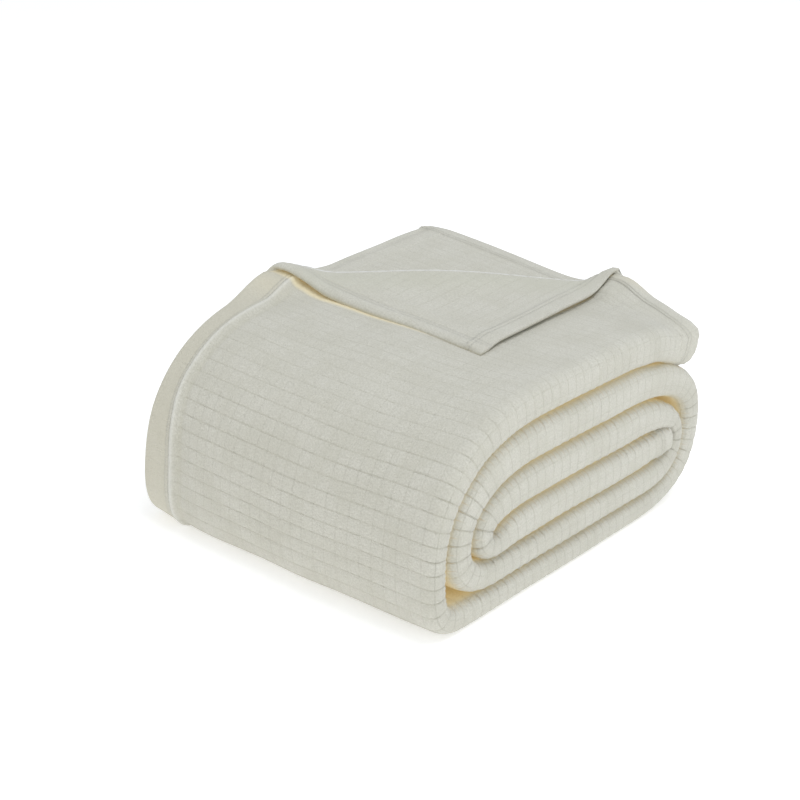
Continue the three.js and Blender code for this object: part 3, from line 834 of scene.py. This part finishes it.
def pile_group():
    """Short brushed pile: a height, and a mask of light and dark nap."""
    group, enter, leave = new_group(
        "brushed pile", [("Flat", "NodeSocketVector")], ["Height", "Nap", "Grain"])
    flat = enter.outputs["Flat"]
    fibres = noise(group, flat, 900, 4, 0.65)
    tufts = noise(group, flat, 300, 2, 0.5)
    fine, coarse = (math_node(group, "MULTIPLY", part, 0.6) for part in (fibres, tufts))
    height = math_node(group, "ADD", fine, coarse)
    group.links.new(height, leave.inputs["Height"])
    group.links.new(noise(group, flat, 30, 4, 0.6), leave.inputs["Nap"])
    group.links.new(noise(group, flat, 620, 3, 0.7), leave.inputs["Grain"])
    return group


def grid_group():
    """The pressed grid: strong lines one way, faint ones the other way."""
    group, enter, leave = new_group(
        "pressed grid", [("Flat", "NodeSocketVector")], ["Strong", "Faint", "Crease"])
    flat = enter.outputs["Flat"]
    split = group.nodes.new("ShaderNodeSeparateXYZ")
    group.links.new(flat, split.inputs[0])
    uneven = noise(group, flat, 60, 2, 0.5)
    for name, axis, phase, pitch, width in (
        ("Strong", 1, STRONG_PHASE, ROW, 0.95),
        ("Faint", 0, WEAK_PHASE, CELL, 0.8),
        ("Crease", 1, STRONG_PHASE, ROW / 2, 0.7),
    ):
        value = math_node(group, "SUBTRACT", split.outputs[axis], phase * MM)
        value = math_node(group, "PINGPONG", value, pitch * MM / 2)
        line = map_range(group, value, 0.0, width * MM, 1.0, 0.0)
        strength = map_range(group, uneven, 0.3, 0.7, 0.4, 1.0)
        group.links.new(math_node(group, "MULTIPLY", line, strength), leave.inputs[name])
    return group


def stitch_group():
    """Rows of short stitches along the hems, and the welt with the valley beside it, as masks for a painted
    highlight on the welt and painted shade in the valley.
    """
    group, enter, leave = new_group(
        "hem stitches", [("Flat", "NodeSocketVector"), ("Outer", "NodeSocketFloat")],
        ["Row", "Thread", "Welt", "Valley", "Band"],
    )
    split = group.nodes.new("ShaderNodeSeparateXYZ")
    group.links.new(enter.outputs["Flat"], split.inputs[0])
    rows, threads = [], []
    for axis, length, places in ((0, PATH_LENGTH, SIDE_ROWS), (1, COURSE_LENGTH, END_ROWS_AT)):
        here = split.outputs[axis]
        there = math_node(group, "SUBTRACT", length * MM, here)
        edge = math_node(group, "MINIMUM", here, there)
        if axis == 0:
            outer = enter.outputs["Outer"]
            # Masks for the painted highlight on the welt and the painted shade in the valley.
            for name, place, width in (("Welt", WELT_AT, 3.4), ("Valley", VALLEY_SHADE_AT, 6.0)):
                away = math_node(group, "ABSOLUTE", math_node(group, "SUBTRACT", edge, place * MM))
                mask = map_range(group, away, 0.0, width * MM, 1.0, 0.0)
                group.links.new(math_node(group, "MULTIPLY", mask, outer), leave.inputs[name])
            # The side hem's band on the outer face, which carries painted shade.
            band = map_range(group, edge, 22 * MM, 28 * MM, 1.0, 0.0)
            group.links.new(math_node(group, "MULTIPLY", band, outer), leave.inputs["Band"])
            # On the inner face the two rows lie nearer the edge.
            shift = (SIDE_ROWS[0] - INNER_ROWS[0]) * MM
            nearer = math_node(group, "MULTIPLY", math_node(group, "SUBTRACT", 1.0, outer), shift)
            edge = math_node(group, "ADD", edge, nearer)
        dash = math_node(group, "PINGPONG", split.outputs[1 - axis], 1.7 * MM)
        dash = map_range(group, dash, 0.3 * MM, 0.7 * MM, 0.0, 1.0)
        for place in places:
            away = math_node(group, "ABSOLUTE", math_node(group, "SUBTRACT", edge, place * MM))
            row = map_range(group, away, 0.0, 0.9 * MM, 1.0, 0.0)
            if axis == 0:
                by_face = map_range(group, enter.outputs["Outer"], 0.0, 1.0, 0.4, 1.0)
                row = math_node(group, "MULTIPLY", row, by_face)
            thread = map_range(group, away, 0.15 * MM, 0.5 * MM, 1.0, 0.0)
            rows.append(row)
            threads.append(math_node(group, "MULTIPLY", thread, dash))
    for name, values in (("Row", rows), ("Thread", threads)):
        total = values[0]
        for value in values[1:]:
            total = math_node(group, "MAXIMUM", total, value)
        group.links.new(total, leave.inputs[name])
    return group


# Colours of the fleece, as linear light
LIGHT_NAP = (0.70, 0.682, 0.605, 1)
DARK_NAP = (0.657, 0.639, 0.556, 1)
GRAIN = (0.52, 0.505, 0.42, 1)
# Painted shade in the pressed grid lines and in the stitch rows.
GROOVE_SHADE = (0.43, 0.41, 0.31, 1)
# Painted highlight on the welt's ridge.
WELT_HIGHLIGHT = (0.83, 0.82, 0.76, 1)
# Painted shade in the valley beside the welt.
VALLEY_SHADE = (0.56, 0.54, 0.42, 1)
# Painted shade on the side hem's band.
HEM_BAND_SHADE = (0.64, 0.605, 0.485, 1)
# Painted highlight on the fold's crest, and painted shade on the slope below it.
FOLD_HIGHLIGHT = (0.85, 0.845, 0.82, 1)
FOLD_SLOPE_SHADE = (0.60, 0.595, 0.49, 1)
# Painted shade in the short fan creases, on top of their real dents.
FAN_CREASE_SHADE = (0.60, 0.50, 0.34, 1)
# Painted warm shade in the crevices, under the turned corner and in the hollows.
CREVICE_SHADE_TINT = (0.86, 0.775, 0.53, 1)
THREAD = (0.68, 0.67, 0.62, 1)
# Painted glow in the crevices.
NO_GLOW = (0, 0, 0, 1)
CREVICE_GLOW = (0.105, 0.076, 0.034, 1)


def tinted(tree, colour, mask, share, tint):
    """The colour, with this share of the tint where the mask is 1."""
    return mix_colour(tree, math_node(tree, "MULTIPLY", mask, share), colour, tint)


def fleece_material():
    material = bpy.data.materials.new("cream fleece")
    material.use_nodes = True
    tree = material.node_tree
    nodes, links = tree.nodes, tree.links
    shader = nodes["Principled BSDF"]
    uv = nodes.new("ShaderNodeUVMap")
    uv.uv_map = "cloth"
    flat = nodes.new("ShaderNodeMapping")
    flat.inputs["Scale"].default_value = (FLAT_SIZE[1], FLAT_SIZE[1], 1)
    links.new(uv.outputs["UV"], flat.inputs["Vector"])
    made = []
    for group in (pile_group(), grid_group(), stitch_group()):
        node = nodes.new("ShaderNodeGroup")
        node.node_tree = group
        links.new(flat.outputs["Vector"], node.inputs["Flat"])
        made.append(node)
    pile, grid, stitch = made
    masks = {}
    for name in ("crevice_shade", "press", "crease", "fold_highlight_and_shade", "outer"):
        node = nodes.new("ShaderNodeAttribute")
        node.attribute_name = name
        masks[name] = node.outputs["Fac"]
    links.new(masks["outer"], stitch.inputs["Outer"])
    strong = math_node(tree, "MULTIPLY", grid.outputs["Strong"], masks["press"])
    faint = math_node(tree, "MULTIPLY", grid.outputs["Faint"], masks["press"])
    nap = map_range(tree, pile.outputs["Nap"], 0.36, 0.64, 0.0, 1.0)
    colour = mix_colour(tree, nap, DARK_NAP, LIGHT_NAP)
    grain = map_range(tree, pile.outputs["Grain"], 0.35, 0.65, 0.0, 0.5)
    colour = mix_colour(tree, grain, colour, GRAIN)
    # Painted shade in the pressed grid lines.
    colour = tinted(tree, colour, strong, 0.42, GROOVE_SHADE)
    colour = tinted(tree, colour, faint, 0.2, GROOVE_SHADE)
    # Painted highlight on the welt and painted shade in the valley beside it.
    colour = tinted(tree, colour, stitch.outputs["Welt"], 0.5, WELT_HIGHLIGHT)
    colour = tinted(tree, colour, stitch.outputs["Valley"], 0.22, VALLEY_SHADE)
    # Painted shade on the side hem's band.
    colour = tinted(tree, colour, stitch.outputs["Band"], 0.6, HEM_BAND_SHADE)
    # Painted highlight on the fold's crest, then painted shade on the slope below it.
    fold_highlight_and_shade = map_range(tree, masks["fold_highlight_and_shade"], 0.0, 1.0, 0.0, 0.85, False)
    colour = mix_colour(tree, fold_highlight_and_shade, colour, FOLD_HIGHLIGHT)
    slope = map_range(tree, masks["fold_highlight_and_shade"], 0.0, -1.0, 0.0, 0.45, False)
    colour = mix_colour(tree, slope, colour, FOLD_SLOPE_SHADE)
    # Painted shade in the short fan creases by the crevices.
    fold = math_node(tree, "MULTIPLY", grid.outputs["Crease"], masks["crease"])
    colour = tinted(tree, colour, fold, 0.8, FAN_CREASE_SHADE)
    # Painted warm shade in the crevices, under the turned corner and in the hollows.
    colour = tinted(tree, colour, masks["crevice_shade"], 0.85, CREVICE_SHADE_TINT)
    # Painted shade in the stitch rows.
    colour = tinted(tree, colour, stitch.outputs["Row"], 0.3, GROOVE_SHADE)
    colour = tinted(tree, colour, stitch.outputs["Thread"], 0.6, THREAD)
    links.new(colour, shader.inputs["Base Color"])
    # A faint painted glow in the crevices stands for the light that comes through the thin cloth where it
    # is tucked in.
    glow = mix_colour(tree, masks["crevice_shade"], NO_GLOW, CREVICE_GLOW)
    links.new(glow, shader.inputs["Emission Color"])
    shader.inputs["Emission Strength"].default_value = 1.0
    rough = map_range(tree, pile.outputs["Nap"], 0.3, 0.7, 0.98, 0.86, False)
    links.new(rough, shader.inputs["Roughness"])
    shader.inputs["Specular IOR Level"].default_value = 0.15
    shader.inputs["Sheen Weight"].default_value = 0.2
    shader.inputs["Sheen Roughness"].default_value = 0.5
    height = math_node(tree, "SUBTRACT", pile.outputs["Height"], math_node(tree, "MULTIPLY", strong, 0.3))
    height = math_node(tree, "SUBTRACT", height, math_node(tree, "MULTIPLY", faint, 0.2))
    height = math_node(tree, "SUBTRACT", height, math_node(tree, "MULTIPLY", stitch.outputs["Row"], 0.3))
    height = math_node(tree, "ADD", height, math_node(tree, "MULTIPLY", stitch.outputs["Thread"], 0.35))
    bump = nodes.new("ShaderNodeBump")
    bump.inputs["Strength"].default_value = 0.9
    bump.inputs["Distance"].default_value = 0.0016
    links.new(height, bump.inputs["Height"])
    links.new(bump.outputs["Normal"], shader.inputs["Normal"])
    return material


fleece = fleece_material()
for piece in (plies, top, inside, under):
    piece.data.materials.append(fleece)
    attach(piece, "root")
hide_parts("blanket")


# Floor, light and camera
def studio():
    bpy.ops.object.select_all(action="DESELECT")
    bpy.ops.mesh.primitive_plane_add(size=60, location=(0, 0, 0))
    floor = bpy.context.object
    floor.name = "floor"
    material = bpy.data.materials.new("white floor")
    material.use_nodes = True
    shader = material.node_tree.nodes["Principled BSDF"]
    shader.inputs["Base Color"].default_value = (0.86, 0.86, 0.86, 1)
    shader.inputs["Roughness"].default_value = 0.9
    shader.inputs["Emission Color"].default_value = (1, 1, 1, 1)
    shader.inputs["Emission Strength"].default_value = 0.38
    floor.data.materials.append(material)
    world = bpy.data.worlds.new("studio")
    bpy.context.scene.world = world
    world.use_nodes = True
    world.node_tree.nodes["Background"].inputs["Color"].default_value = (0.95, 0.975, 1, 1)
    world.node_tree.nodes["Background"].inputs["Strength"].default_value = 0.68
    bpy.context.scene.view_settings.view_transform = "Standard"
    for name, place, size, power, tint in (
        ("key", (0.8, 0.2, 2.9), 1.6, 29, (0.915, 0.945, 1.0)),
        ("front", (2.3, -0.5, 0.6), 1.6, 7.5, (0.98, 1.0, 1.0)),
        ("fill", (-1.4, -2.4, 1.2), 2.0, 5.5, (1.0, 0.95, 0.81)),
    ):
        light = bpy.data.lights.new(name, "AREA")
        light.color = tint
        light.size = size
        light.energy = power
        lamp = bpy.data.objects.new(name, light)
        bpy.context.scene.collection.objects.link(lamp)
        lamp.location = place
        aim(lamp, (0, 0, 0.09))


def aim(thing, target):
    direction = Vector(target) - Vector(thing.location)
    thing.rotation_euler = direction.to_track_quat("-Z", "Y").to_euler()


def add_camera():
    azimuth, elevation, distance = math.radians(40.7), math.radians(22.5), 1.450
    target = (-0.0381, 0.0096 + SHIFT_Y * MM, 0.085)
    data = bpy.data.cameras.new("camera")
    data.lens = 72
    data.sensor_width = 36
    camera = bpy.data.objects.new("camera", data)
    bpy.context.scene.collection.objects.link(camera)
    camera.location = (
        target[0] + distance * math.sin(azimuth) * math.cos(elevation),
        target[1] - distance * math.cos(azimuth) * math.cos(elevation),
        target[2] + distance * math.sin(elevation),
    )
    aim(camera, target)
    bpy.context.scene.camera = camera


studio()
add_camera()
